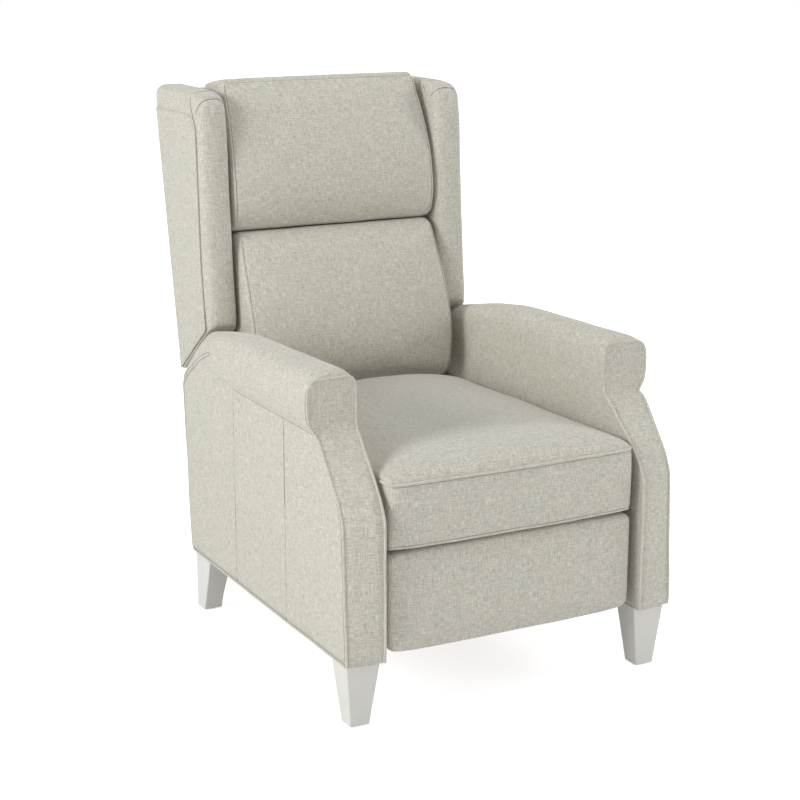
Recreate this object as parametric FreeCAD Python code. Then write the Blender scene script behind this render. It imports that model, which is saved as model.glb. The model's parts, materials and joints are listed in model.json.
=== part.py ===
import FreeCAD, Part
import math
import os

V = FreeCAD.Vector

# All sizes in millimetres. X is to the right, Y to the rear, Z up. Heights start at the floor.
# The construction's Y starts at the front faces of the front feet; shift_y moves it to the frame.

# Overall arm and body
body_floor = 129.0
arm_front_y = -29.0
arm_rear_bottom_y = 723.0
arm_rear_top_y = 748.0
arm_inner_x = 275.0
arm_outer_x = 350.0
roll_face_y = 102.0
roll_outer_x = 369.0
roll_inner_x = 261.0
roll_crest_z = 650.0
front_panel_thick = 8.0
side_panel_thick = 5.0
welt_radius = 3.0

# Feet
foot_top_width = 69.0
foot_top_depth = 64.0
foot_top_front_y = -12.0
foot_bottom_size = 39.0
foot_outer_top_x = 345.0
foot_outer_bottom_x = 332.0
rear_foot_bottom_size = 40.0
rear_foot_outer_x = 341.0
rear_foot_rear_y = 718.0
glide_disc_height = 3.0
foot_bolt_radius = 4.0
foot_edge_radius = 2.5

# Arm panels, corner blocks and cross rails
frame_floor = body_floor + 6.0
arm_board_x = 283.0
arm_board_thick = 18.0
arm_board_front_y = 6.0
arm_board_rear_y = 690.0
arm_board_top = 470.0
corner_block_reach = 35.0
corner_block_top = 190.0
cross_rail_thick = 22.0
middle_rail_top = 190.0
middle_rail_y = 360.0
rear_rail_top = 200.0
rear_rail_y = 688.0
rear_cover_thick = 12.0
rear_cover_top = 322.0
screw_radius = 3.5
screw_length = 42.0
screw_heights = (20.0, 45.0)
frame_bolt_radius = 4.0
frame_bolt_length = 26.0
channel_bolt_places = (120.0, 340.0, 565.0)
mount_bolt_places = ((612.0, 340.0), (612.0, 420.0), (668.0, 340.0))

# Seat
seat_half_width = 262.0
seat_front_y = -20.0
seat_rear_y = 640.0
seat_band_bottom = 332.0
seat_band_top = 453.0
seat_band_rear = 16.0
seat_edge_z = 470.0
seat_crown = 18.0
seat_base_z = 400.0
seat_rail_outer_x = 260.0
seat_rail_width = 24.0
seat_rail_bottom = 352.0
seat_rail_top = 396.0
seat_frame_front_y = 18.0
seat_frame_rear_y = 620.0
wire_radius = 2.0
spring_bend = 9.0
spring_places = (-168.0, -84.0, 0.0, 84.0, 168.0)
wood_screw_radius = 2.5
wood_screw_places = (180.0, 320.0, 440.0, 560.0)

# Steel layers of the linkage, as distances of their faces from the middle
sheet = 4.0
layer_gap = 1.0
plate_x = 244.0
link_x = plate_x - layer_gap - sheet
carrier_x = link_x - layer_gap - sheet
link_half_width = 10.0
pin_radius = 4.0
pin_clearance = 0.05
pin_head_radius = 7.0
pin_head_thick = 1.8

# Linkage pivots in the YZ plane. Both four-bar loops are parallelograms.
pivot_main = (150.0, 312.0)
guide_offset = 65.0
pivot_elbow = (275.0, 186.0)
long_offset = (-14.0, 41.0)
pivot_board = (75.0, 270.0)
footrest_swing = 85.0
glide_travel = 75.0
torque_tube_radius = 10.0
torque_tube_wall = 2.0

# Glide channel
channel_inner_z = 20.0
channel_low_z = 322.0
channel_wall = 3.0
channel_front_y = 96.0
channel_rear_y = 590.0
channel_reach = 19.0
shoe_clearance = 0.5
shoe_length = 70.0
shoe_starts = (200.0, 480.0)

# Footrest
rest_half_width = 263.0
rest_top = 324.0
rest_bottom = 131.0
rest_front_y = -22.0
rest_board_front = 5.0
rest_board_rear = 20.0
rest_screw_heights = (190.0, 238.0, 286.0)

# Back: local u runs up the back, local w to the rear, both from the back pivot
back_pivot = (640.0, 380.0)
back_lean = 10.5
back_pin_radius = 6.0
cushion_back_w = 126.0
lumbar_bottom = 96.0
cushion_seam = 425.0
head_top = 735.0
stile_inner_x = 240.0
stile_outer_x = 264.0
stile_front_w = 128.0
stile_rear_w = 200.0
stile_top_u = 690.0
back_panel_w = 200.0
back_panel_thick = 5.0
wing_inner_x = 238.0
wing_outer_x = 306.0
wing_top_z = 1083.0
wing_cap_rise = 2.0
top_rail_thick = 22.0
back_panel_half = 300.0
back_panel_narrow = 262.0
back_panel_low_u = 36.0
back_panel_split_u = 146.0
back_panel_top_u = 722.0
top_pad_thick = 20.0
bracket_reach_w = 186.0
bracket_wide_w = 140.0
bracket_heights = (44.0, 138.0)
bracket_x = 264.0
bracket_holes = ((150.0, 60.0), (172.0, 60.0), (150.0, 120.0), (172.0, 120.0))
mount_x = 271.0
strap_thick = 2.0
strap_width = 50.0
strap_places = (-174.0, -58.0, 58.0, 174.0)

lean = math.radians(back_lean)
wing_top_u = (wing_top_z + wing_cap_rise - back_pivot[1] + back_panel_w * math.sin(lean)) / math.cos(lean)
rear_reach = back_pivot[0] + wing_top_u * math.sin(lean) + back_panel_w * math.cos(lean)
shift_y = -(arm_front_y - welt_radius + rear_reach) / 2.0
parts = {}


def box(x0, x1, y0, y1, z0, z1):
    return Part.makeBox(x1 - x0, y1 - y0, z1 - z0, V(x0, y0, z0))


def mirrored(shape):
    return shape.mirror(V(0, 0, 0), V(1, 0, 0))


def both(name, shape):
    parts[name + "_r"] = shape
    parts[name + "_l"] = mirrored(shape)


def pair(name, shape):
    """A right piece and its mirror image as one node of two solids."""
    parts[name] = Part.makeCompound([shape, mirrored(shape)])


def rod_x(x0, x1, y, z, radius):
    return Part.makeCylinder(radius, x1 - x0, V(x0, y, z), V(1, 0, 0))


def wire_of(steps):
    """Closed wire of lines and three-point arcs: each step is an end, or a middle and an end."""
    edges = []
    start = steps[0][-1]
    here = start
    for step in steps[1:]:
        end = step[-1]
        if len(step) == 2:
            edges.append(Part.Arc(here, step[0], end).toShape())
        else:
            edges.append(Part.makeLine(here, end))
        here = end
    if here.distanceToPoint(start) > 1e-6:
        edges.append(Part.makeLine(here, start))
    return Part.Wire(edges)


def extruded(wire, direction):
    return Part.Face(wire).extrude(direction)


def side_plate(x0, thick, points):
    """Plate in the YZ plane from x0 outwards."""
    wire = wire_of([[V(x0, *p) for p in step] for step in points])
    return extruded(wire, V(thick, 0, 0))


def bar(x0, thick, start, end, half_width):
    """Round-ended bar between two pivots in the YZ plane."""
    dy, dz = end[0] - start[0], end[1] - start[1]
    length = math.hypot(dy, dz)
    uy, uz = dy / length * half_width, dz / length * half_width
    steps = [
        [(start[0] + uz, start[1] - uy)],
        [(end[0] + uz, end[1] - uy)],
        [(end[0] + uy, end[1] + uz), (end[0] - uz, end[1] + uy)],
        [(start[0] - uz, start[1] + uy)],
        [(start[0] - uy, start[1] - uz), (start[0] + uz, start[1] - uy)],
    ]
    return side_plate(x0, thick, steps)


def bent_path(corners):
    """Path of straight runs and arcs: each corner is a point and its bend radius."""
    points = [p for p, _ in corners]
    edges = []
    here = points[0]
    for i in range(1, len(points) - 1):
        before = (points[i - 1] - points[i]).normalize()
        after = (points[i + 1] - points[i]).normalize()
        half = before.getAngle(after) / 2
        bend = corners[i][1]
        centre = points[i] + (before + after).normalize() * (bend / math.sin(half))
        first = points[i] + before * (bend / math.tan(half))
        last = points[i] + after * (bend / math.tan(half))
        middle = centre + (points[i] - centre).normalize() * bend
        edges.append(Part.makeLine(here, first))
        edges.append(Part.Arc(first, middle, last).toShape())
        here = last
    edges.append(Part.makeLine(here, points[-1]))
    return edges


def cord(corners, radius):
    """Round cord along a bent path."""
    path = Part.Wire(bent_path(corners))
    start = corners[0][0]
    ring = Part.Wire([Part.makeCircle(radius, start, corners[1][0] - start)])
    return path.makePipe(Part.Face(ring))


def fused(shapes):
    result = shapes[0]
    if len(shapes) > 1:
        result = shapes[0].multiFuse(shapes[1:]).removeSplitter()
    return result


def back_placed(shape):
    """Turns a shape made with the back upright to the back's lean, about its pivot."""
    result = shape.copy()
    result.rotate(V(0, 0, 0), V(1, 0, 0), -back_lean)
    result.translate(V(0, *back_pivot))
    return result


def arm_section(y, top, neck_z, outer, inner, inset=0.0):
    """Closed section of the arm in the plane at y, starting at the inner bottom corner."""
    side = arm_outer_x
    low = neck_z + 24
    high = max(low + 4, top - 52)
    outer = outer - inset
    inner = inner + inset
    top = top - inset
    steps = [
        [(arm_inner_x, body_floor)],
        [(side, body_floor)],
        [(side, neck_z)],
        [(side + (outer - side) * 0.75, neck_z + 9), (outer, low)],
        [(outer, high)],
        [(outer - 8, top - 19), (332, top - 4)],
        [(312, top), (292, top - 5)],
        [(inner + 8, top - 18), (inner, top - 45)],
        [(inner, top - 78)],
        [(inner + 4, top - 98), (arm_inner_x, top - 110)],
    ]
    return wire_of([[V(x, y, z) for x, z in step] for step in steps])


def arm_roll():
    """The padded arm behind its front face: even stations, then the softened front edge."""
    crest = roll_crest_z
    soft = 14.0
    full = (roll_face_y + soft, crest, 530, roll_outer_x, roll_inner_x)
    rows = [full, (330, crest, 531, roll_outer_x, roll_inner_x), (545, crest - 23, 538, 361, 263),
            (760, crest - 90, 474, 351, 268)]
    body = Part.makeLoft([arm_section(*row) for row in rows], True, False)
    nose_rows = [full + (0.0,), (roll_face_y + 4,) + full[1:] + (4.0,), (roll_face_y,) + full[1:] + (10.0,)]
    nose = Part.makeLoft([arm_section(*row) for row in nose_rows], True, True)
    return fused([body, nose])


def swoop_corners():
    """Front edge of the arm seen from the side: corners and bend radii, bottom to roll face."""
    return [((arm_front_y, body_floor), 0.0), ((arm_front_y, 408.0), 110.0),
            ((roll_face_y, 508.0), 42.0), ((roll_face_y, 560.0), 0.0)]


def arm_envelope():
    roll = arm_roll()
    rear_cut = side_plate(0, 400, [
        [(arm_rear_bottom_y, 0)], [(arm_rear_bottom_y, body_floor)], [(arm_rear_top_y, 482)],
        [(arm_rear_top_y - 3, roll_crest_z + 50)],
        [(arm_rear_top_y + 150, roll_crest_z + 50)], [(arm_rear_top_y + 150, 0)]])
    x = arm_inner_x
    edges = bent_path([(V(x, y, z), bend) for (y, z), bend in swoop_corners()])
    depth = roll_face_y + 60
    for a, b in (((roll_face_y, 560), (depth, 560)), ((depth, 560), (depth, body_floor)),
                 ((depth, body_floor), (arm_front_y, body_floor))):
        edges.append(Part.makeLine(V(x, *a), V(x, *b)))
    front = extruded(Part.Wire(edges), V(arm_outer_x - arm_inner_x, 0, 0))
    front = front.cut(box(0, 400, -60, roll_face_y + 200, 534, 600))
    return fused([front, roll.cut(rear_cut)])


def front_panel_region():
    low = box(arm_inner_x + 4, arm_outer_x - 4, arm_front_y - 5, roll_face_y + 40, body_floor + 4, 545)
    face = wire_of([
        [V(279, 0, 545)], [V(346, 0, 545)], [V(358, 0, 556), V(361, 0, 570)], [V(361, 0, 600)],
        [V(352, 0, 622), V(330, 0, 630)], [V(296, 0, 629)], [V(275, 0, 620), V(269, 0, 598)],
        [V(269, 0, 568)], [V(271, 0, 555), V(279, 0, 545)]])
    disc = extruded(face, V(0, roll_face_y + 40, 0))
    return fused([low, disc])


def arm_welts():
    """Cords along both front edges of the arm and along the side panel's bottom and rear."""
    cord_list = []
    corners = swoop_corners()
    start, end = corners[0][0], corners[-1][0]
    ends = [((start[0], start[1] + 5), 0.0)] + corners[1:3] + [((end[0], 532.0), 0.0)]
    for x in (arm_outer_x, arm_inner_x):
        cord_list.append(cord([(V(x, y, z), bend) for (y, z), bend in ends], welt_radius))
    bottom_z = body_floor + welt_radius + 2
    rear = [(arm_front_y + 9, bottom_z, 0), (arm_rear_bottom_y - 3, bottom_z, 6),
            (arm_rear_top_y - 4, 478, 12), (700, 508, 0)]
    cord_list.append(cord([(V(arm_outer_x, y, z), bend) for y, z, bend in rear], welt_radius))
    return cord_list


def make_feet():
    centre_x = foot_outer_bottom_x - foot_bottom_size / 2
    top_x = foot_outer_top_x - foot_top_width / 2
    top_y = foot_top_front_y + foot_top_depth / 2

    def rounded(cx, cy, size_x, size_y, z):
        hx, hy, r = size_x / 2, size_y / 2, foot_edge_radius
        k = r * (1 - math.sqrt(0.5))
        return wire_of([[V(cx + x, cy + y, z) for x, y in step] for step in [
            [(hx - r, -hy)], [(hx - k, -hy + k), (hx, -hy + r)], [(hx, hy - r)],
            [(hx - k, hy - k), (hx - r, hy)], [(-hx + r, hy)], [(-hx + k, hy - k), (-hx, hy - r)],
            [(-hx, -hy + r)], [(-hx + k, -hy + k), (-hx + r, -hy)]]])

    front = Part.makeLoft([rounded(top_x, top_y, foot_top_width, foot_top_depth, body_floor),
                           rounded(centre_x, foot_bottom_size / 2, foot_bottom_size, foot_bottom_size,
                                   glide_disc_height)], True, True)
    rear_size, outer, behind = rear_foot_bottom_size, rear_foot_outer_x, rear_foot_rear_y
    rear_x, rear_y = outer - rear_size / 2, behind - rear_size / 2
    rows = [(body_floor, rear_size + 12, rear_size + 37), (90, rear_size + 7, rear_size + 28),
            (48, rear_size + 2, rear_size + 15), (glide_disc_height, rear_size, rear_size)]
    rear = Part.makeLoft([rounded(outer - sx / 2, behind - sy / 2, sx, sy, z) for z, sx, sy in rows],
                         True, False)
    front_pad = Part.makeCylinder(13, glide_disc_height, V(centre_x, foot_bottom_size / 2, 0))
    rear_pad = Part.makeCylinder(14, glide_disc_height, V(rear_x, rear_y, 0))
    bolts = []
    for x, y in ((top_x, top_y), (rear_x - 7, rear_y - 18)):
        bolts.append(Part.makeCylinder(foot_bolt_radius, 62, V(x, y, body_floor - 28)))
    cutter = Part.makeCompound(bolts)
    pair("feet_front", front.cut(cutter))
    pair("feet_rear", rear.cut(cutter))
    parts["foot_glides"] = grouped([front_pad, rear_pad])
    parts["foot_bolts"] = grouped(bolts)
    return bolts


def grouped(shapes):
    """Solids of the right side and their mirror images as one group."""
    return Part.makeCompound(list(shapes) + [mirrored(s) for s in shapes])


def make_arms():
    envelope = arm_envelope()
    front, rear, top = arm_board_front_y, arm_board_rear_y, arm_board_top
    board = side_plate(arm_board_x, arm_board_thick, [
        [(front, frame_floor)], [(front, top - 140)], [(front + 18, top - 80), (front + 64, top - 38)],
        [(front + 114, top)], [(rear, top)], [(rear, frame_floor)]])
    window = side_plate(arm_board_x, arm_board_thick, [
        [(420, 200)], [(420, 300)], [(660, 300)], [(660, 200)]])
    board = board.cut(window)
    block_x = arm_board_x + arm_board_thick
    blocks = [box(block_x, block_x + corner_block_reach, y0, y1, frame_floor, corner_block_top)
              for y0, y1 in ((front - 26, front + 54), (rear - 60, rear + 5))]
    feet_bolts = make_feet()
    channel_bolts = [rod_x(mount_x, mount_x + frame_bolt_length, y, channel_low_z + channel_inner_z / 2,
                           frame_bolt_radius) for y in channel_bolt_places]
    pivot_bolts = [rod_x(mount_x, mount_x + frame_bolt_length, y, z, frame_bolt_radius)
                   for y, z in mount_bolt_places]
    rail_screws = [rod_x(block_x - screw_length, block_x, y, body_floor + z, screw_radius)
                   for y in (middle_rail_y + cross_rail_thick / 2, rear_rail_y - 9)
                   for z in screw_heights]
    front_layer = envelope.cut(envelope.translated(V(0, front_panel_thick, 0)))
    front_panel = front_layer.common(front_panel_region())
    front_panel = max(front_panel.Solids, key=lambda s: s.Volume)
    side_panel = side_plate(arm_outer_x - side_panel_thick, side_panel_thick, [
        [(12, body_floor + 8)], [(12, 405)], [(70, 452), (112, 524)], [(505, 528)], [(590, 556), (640, 545)],
        [(738, 482)], [(714, body_floor + 8)]])
    welts = arm_welts()
    side_panel = side_panel.cut(Part.makeCompound(welts))
    front_panel = front_panel.cut(Part.makeCompound(welts))
    hardware = feet_bolts + channel_bolts + pivot_bolts + rail_screws
    arm = envelope.cut(Part.makeCompound([board] + blocks))
    rails = [box(0, arm_board_x, middle_rail_y, middle_rail_y + cross_rail_thick, frame_floor,
                 middle_rail_top),
             box(0, arm_board_x, rear_rail_y - cross_rail_thick / 2, rear_rail_y + cross_rail_thick / 2,
                 frame_floor, rear_rail_top)]
    arm = arm.cut(Part.makeCompound(hardware + welts + rails))
    arm = arm.cut(front_panel).cut(side_panel)
    arm = max(arm.Solids, key=lambda s: s.Volume)
    both("arm_pad", arm)
    frame = fused([board] + blocks)
    pair("arm_boards", frame.cut(Part.makeCompound(hardware)))
    pair("arm_fronts", front_panel)
    pair("arm_sides", side_panel)
    parts["arm_welts"] = grouped(welts)
    whole_rails = [fused([half, mirrored(half)]).cut(grouped(rail_screws)) for half in rails]
    parts["cross_rails"] = Part.makeCompound(whole_rails)
    cover_y = rear_rail_y + cross_rail_thick / 2
    parts["rear_cover"] = box(-arm_inner_x, arm_inner_x, cover_y, cover_y + rear_cover_thick, body_floor + 2,
                              rear_cover_top)
    parts["rail_screws"] = grouped(rail_screws)
    parts["channel_bolts"] = grouped(channel_bolts + pivot_bolts)
    return channel_bolts + pivot_bolts


def make_channels(bolts):
    low = channel_low_z - channel_wall
    high = channel_low_z + channel_inner_z
    web = box(mount_x, arm_inner_x, channel_front_y, channel_rear_y, low, high + channel_wall)
    flanges = [box(arm_inner_x - channel_reach, mount_x, channel_front_y, channel_rear_y, z, z + channel_wall)
               for z in (low, high)]
    channel = fused([web] + flanges)
    pair("glide_channels", channel.cut(Part.makeCompound(bolts)))
    mount = side_plate(mount_x, arm_inner_x - mount_x, [
        [(600, 352)], [(600, 432)], [(624, 432)], [(back_pivot[0] + 18, 390)], [(680, 350)], [(680, 326)],
        [(600, 326)]])
    mount = mount.cut(box(mount_x, arm_inner_x, 0, channel_rear_y + 2, 0, 360))
    pin = rod_x(bracket_x - pin_clearance * 2, arm_inner_x, *back_pivot, back_pin_radius)
    head = rod_x(bracket_x - 4, bracket_x - pin_clearance * 2, *back_pivot, 10)
    pin = fused([pin, head])
    washer = rod_x(bracket_x + sheet + 0.1, mount_x, *back_pivot, 13).cut(pin)
    pair("back_mounts", mount.cut(Part.makeCompound(list(bolts) + [pin])))
    pair("back_pins", pin)
    parts["pivot_washers"] = grouped([washer])


def seat_section(y, half, edge, crown):
    base = seat_base_z
    steps = [
        [(-half + 3, base)], [(half - 3, base)], [(half, base + 34), (half - 1, edge - 20)],
        [(half - 6, edge - 6), (half - 20, edge)],
        [(0, edge + crown), (-half + 20, edge)],
        [(-half + 6, edge - 6), (-half + 1, edge - 20)],
        [(-half, base + 34), (-half + 3, base)],
    ]
    return wire_of([[V(x, y, z) for x, z in step] for step in steps])


def seat_welt_corners():
    y = seat_front_y
    w = seat_half_width - 2
    rows = []
    for z in (seat_band_top + 1, seat_band_bottom + 1):
        rows.append([(V(-w, y + 34, z), 0), (V(-w, y + 1, z), 12), (V(0, y - 3, z), 2000),
                     (V(w, y + 1, z), 12), (V(w, y + 34, z), 0)])
    return rows


def make_seat():
    front = seat_front_y
    rear = seat_rear_y
    middle = (front + rear) / 2
    rows = [(front, 261, seat_edge_z - 2, 10), (middle, seat_half_width, seat_edge_z + 2, seat_crown),
            (rear, 260, seat_edge_z - 6, 10)]
    cushion = Part.makeLoft([seat_section(*row) for row in rows], True, False)
    side = side_plate(-300, 600, [
        [(seat_band_rear, seat_base_z)], [(seat_band_rear, seat_band_top)], [(front + 2, seat_band_top)],
        [(front - 1, seat_band_top + 9), (front + 16, seat_edge_z + 2)],
        [(middle, seat_edge_z + 28), (rear - 40, seat_edge_z + 6)],
        [(rear - 8, seat_edge_z - 6), (rear, seat_edge_z - 34)], [(rear, seat_base_z)]])
    cushion = cushion.common(side)
    half = seat_half_width
    plan = wire_of([[V(x, y, seat_band_bottom) for x, y in step] for step in [
        [(half, seat_band_rear)], [(half, front + 12)], [(half - 3, front + 4), (half - 12, front + 1)],
        [(0, front - 4), (-half + 12, front + 1)], [(-half + 3, front + 4), (-half, front + 12)],
        [(-half, seat_band_rear)]]])
    band = extruded(plan, V(0, 0, seat_band_top - seat_band_bottom))
    welts = Part.makeCompound([cord(corners, welt_radius) for corners in seat_welt_corners()])
    springs, clips = seat_springs()
    rail_x = seat_rail_outer_x
    rail_front = seat_frame_front_y + seat_rail_width
    rail_rear = seat_frame_rear_y - seat_rail_width
    parts["seat_rail_front"] = box(-rail_x, rail_x, seat_band_rear, rail_front, seat_band_bottom + 4, seat_rail_top)
    parts["seat_rail_rear"] = box(-rail_x, rail_x, rail_rear, seat_frame_rear_y, seat_rail_bottom, seat_rail_top)
    parts["seat_cushion"] = cushion.cut(welts)
    parts["seat_band"] = band.cut(welts)
    parts["seat_welts"] = welts
    parts["seat_springs"] = springs
    parts["seat_clips"] = clips
    return box(rail_x - seat_rail_width, rail_x, rail_front, rail_rear, seat_rail_bottom, seat_base_z)


def sinuous(start, length, waves, reach):
    """Zigzag spring of flat-rolled wire along Y: straight ends, then even waves across."""
    lead = length / (2 * waves + 2)
    corners = [(start, 0)]
    for i in range(2 * waves + 1):
        corners.append((start + V(reach if i % 2 else -reach, lead * (i + 1), 0), spring_bend))
    corners.append((start + V(0, length, 0), 0))
    path = Part.Wire(bent_path(corners))
    along = corners[1][0] - start
    along.normalize()
    side = along.cross(V(0, 0, 1)) * wire_radius
    up = V(0, 0, wire_radius)
    ring = Part.makePolygon([start + side + up, start + side - up, start - side - up, start - side + up,
                             start + side + up])
    return path.makePipe(Part.Face(ring))


def seat_springs():
    springs = []
    clips = []
    z = seat_base_z - wire_radius
    y0 = seat_frame_front_y + 8
    y1 = seat_frame_rear_y - 8
    for x in spring_places:
        springs.append(sinuous(V(x, y0, z), y1 - y0, 5, 24))
        for y in (y0, y1 - 8):
            clips.append(box(x - 12, x + 12, y, y + 8, seat_rail_top, seat_base_z - 0.2))
    wires = Part.makeCompound(springs)
    return wires, Part.makeCompound([c.cut(wires) for c in clips])


def link_points():
    elbow = pivot_elbow
    guide_top = (pivot_main[0] + guide_offset, pivot_main[1])
    guide_low = (elbow[0] + guide_offset, elbow[1])
    long_low = (elbow[0] + long_offset[0], elbow[1] + long_offset[1])
    long_top = (pivot_board[0] + long_offset[0], pivot_board[1] + long_offset[1])
    return elbow, guide_top, guide_low, long_low, long_top


def rivet(x0, x1, point, low_gap, high_gap):
    """Rivet through the layers from x0 to x1 with a head beyond each face."""
    shank = rod_x(x0 - low_gap, x1 + high_gap, *point, pin_radius)
    low = rod_x(x0 - low_gap - pin_head_thick, x0 - low_gap, *point, pin_head_radius)
    high = rod_x(x1 + high_gap, x1 + high_gap + pin_head_thick, *point, pin_head_radius)
    return fused([shank, low, high])


def with_holes(shape, x0, thick, points, clearance):
    for point in points:
        shape = shape.cut(rod_x(x0 - 1, x0 + thick + 1, *point, pin_radius + clearance))
    return shape


def make_linkage(side_rail):
    elbow, guide_top, guide_low, long_low, long_top = link_points()
    run = 0.1
    w = link_half_width
    mid = ((pivot_main[0] + elbow[0]) / 2, (pivot_main[1] + elbow[1]) / 2)
    main = fused([bar(link_x, sheet, pivot_main, elbow, w), bar(link_x, sheet, elbow, long_low, w),
                  bar(link_x, sheet, mid, long_low, w)])
    main = with_holes(main, link_x, sheet, [pivot_main], pin_clearance)
    main = with_holes(main, link_x, sheet, [elbow, long_low], 0)
    pair("main_links", main)
    tube = rod_x(-link_x, link_x, *mid, torque_tube_radius)
    tube = tube.cut(rod_x(-link_x, link_x, *mid, torque_tube_radius - torque_tube_wall))
    parts["torque_tube"] = tube
    guide = bar(link_x, sheet, guide_top, guide_low, w)
    guide = with_holes(guide, link_x, sheet, [guide_top], pin_clearance)
    guide = with_holes(guide, link_x, sheet, [guide_low], 0)
    both("guide_link", guide)
    carrier = fused([bar(carrier_x, sheet, guide_low, elbow, w),
                     bar(carrier_x, sheet, elbow, pivot_board, w)])
    carrier = with_holes(carrier, carrier_x, sheet, [guide_low, elbow, pivot_board], pin_clearance)
    both("carrier_link", carrier)
    long_link = bar(plate_x, sheet, long_low, long_top, w)
    both("long_link", with_holes(long_link, plate_x, sheet, [long_low, long_top], pin_clearance))
    parts["main_rivets"] = grouped([rivet(carrier_x, link_x + sheet, elbow, run, 0),
                                    rivet(link_x, plate_x + sheet, long_low, 0, run)])
    both("guide_rivet", rivet(carrier_x, link_x + sheet, guide_low, run, 0))
    rest_rivets = [rivet(carrier_x, link_x + sheet, pivot_board, run, 0),
                   rivet(link_x, plate_x + sheet, long_top, 0, run)]
    parts["bracket_rivets"] = grouped(rest_rivets)
    plate_rivets = [rivet(link_x, plate_x + sheet, p, run, 0) for p in (pivot_main, guide_top)]
    parts["plate_rivets"] = grouped(plate_rivets)
    make_side_plate(guide_top, side_rail)
    make_footrest(long_top)


def make_side_plate(guide_top, side_rail):
    nose = 14.0
    top = seat_rail_bottom
    y0 = pivot_main[0]
    plate = side_plate(plate_x, sheet, [
        [(y0, pivot_main[1] - nose)],
        [(y0 - nose, pivot_main[1]), (y0 - nose * 0.8, pivot_main[1] + nose * 0.6)],
        [(y0 - 4, top)], [(590, top)], [(590, 322)], [(540, 300), (480, pivot_main[1] - nose)]])
    flange = box(plate_x + sheet, seat_rail_outer_x, y0 + 4, 590, top - 3, top)
    plate = fused([plate, flange])
    plate = with_holes(plate, plate_x, sheet, [pivot_main, guide_top], 0)
    shoe_low = channel_low_z + shoe_clearance
    shoe_high = channel_low_z + channel_inner_z - shoe_clearance
    shoes = [box(plate_x + sheet, mount_x - shoe_clearance, y, y + shoe_length, shoe_low, shoe_high)
             for y in shoe_starts]
    screws = []
    for y in shoe_starts:
        shank = rod_x(plate_x, plate_x + sheet + 14, y + shoe_length / 2, (shoe_low + shoe_high) / 2, 3)
        head = rod_x(plate_x - 3, plate_x, y + shoe_length / 2, (shoe_low + shoe_high) / 2, 5.5)
        screws.append(fused([shank, head]))
    screw_x = (plate_x + sheet + seat_rail_outer_x) / 2
    wood_screws = [Part.makeCylinder(wood_screw_radius, 22, V(screw_x, y, top - 3)) for y in wood_screw_places]
    held = Part.makeCompound(screws + wood_screws)
    pair("side_plates", plate.cut(held))
    parts["glide_shoes"] = grouped([s.cut(held) for s in shoes])
    parts["plate_screws"] = grouped(screws + wood_screws)
    pair("seat_side_rails", side_rail.cut(held))


def rest_section(z, half, rear, edge, crown):
    steps = [
        [(-half, rear)], [(half, rear)], [(half, edge + 14)],
        [(half - 4, edge + 4), (half - 14, edge)],
        [(0, edge - crown), (-half + 14, edge)],
        [(-half + 4, edge + 4), (-half, edge + 14)],
    ]
    return wire_of([[V(x, y, z) for x, y in step] for step in steps])


def make_footrest(long_top):
    mid = (rest_top + rest_bottom) / 2
    rows = [(rest_bottom, rest_half_width, rest_board_rear, rest_front_y + 2, 3),
            (mid, rest_half_width, rest_board_rear, rest_front_y, 6),
            (rest_top, rest_half_width, rest_board_rear, rest_front_y + 2, 3)]
    pad = Part.makeLoft([rest_section(*row) for row in rows], True, False)
    w, low, high = rest_half_width, rest_bottom, rest_top
    face = wire_of([[V(x, -60, z) for x, z in step] for step in [
        [(-w, high - 12)], [(-w + 3.5, high - 3.5), (-w + 12, high)], [(w - 12, high)],
        [(w - 3.5, high - 3.5), (w, high - 12)], [(w, low + 16)], [(w - 5, low + 5), (w - 16, low)],
        [(-w + 16, low)], [(-w + 5, low + 5), (-w, low + 16)]]])
    pad = pad.common(extruded(face, V(0, 120, 0)))
    pad = pad.common(rounded_ends(-300, 300, low, high, rest_front_y - 8, 60, 20))
    board = box(-rest_half_width + 14, rest_half_width - 14, rest_board_front, rest_board_rear,
                rest_bottom + 12, rest_top - 12)
    bracket = fused([
        side_plate(link_x, sheet, [[(rest_board_rear, 170)], [(rest_board_rear, 306)], [(long_top[0], 321)],
                                   [(long_top[0] + 10, 306)], [(pivot_board[0] + 10, 268)],
                                   [(pivot_board[0] + 2, 260)], [(50, 240)]]),
        bar(link_x, sheet, pivot_board, long_top, link_half_width),
        box(link_x - 22, link_x + sheet, rest_board_rear, rest_board_rear + 3, 170, 306)])
    bracket = with_holes(bracket, link_x, sheet, [pivot_board, long_top], 0)
    screws = [Part.makeCylinder(wood_screw_radius, 16, V(link_x - 12, rest_board_rear + 3, z), V(0, -1, 0))
              for z in rest_screw_heights]
    held = Part.makeCompound(screws)
    pair("rest_brackets", bracket.cut(held))
    parts["rest_board"] = board.cut(grouped(screws))
    parts["rest_pad"] = pad.cut(board)
    parts["bracket_screws"] = grouped(screws)


def cushion_section(u, half, rear, edge, crown, corner):
    """Plan section of an upright back cushion: flat at the rear, crowned to the front."""
    steps = [
        [(-half, rear)], [(half, rear)], [(half + 1, (rear + edge) / 2 + corner / 2), (half, edge + corner)],
        [(half - corner * 0.3, edge + corner * 0.3), (half - corner, edge)],
        [(0, edge - crown), (-half + corner, edge)],
        [(-half + corner * 0.3, edge + corner * 0.3), (-half, edge + corner)],
        [(-half - 1, (rear + edge) / 2 + corner / 2), (-half, rear)],
    ]
    return wire_of([[V(x, w, u) for x, w in step] for step in steps])


def rounded_ends(x0, x1, low, high, front, rear, bend):
    """Side outline with rounded front corners, wide enough to round only a cushion's ends."""
    steps = [
        [(rear, low)], [(rear, high)], [(front + bend, high)],
        [(front + bend * 0.29, high - bend * 0.29), (front, high - bend)],
        [(front, low + bend)], [(front + bend * 0.29, low + bend * 0.29), (front + bend, low)],
    ]
    return side_plate(x0, x1 - x0, steps)


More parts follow.
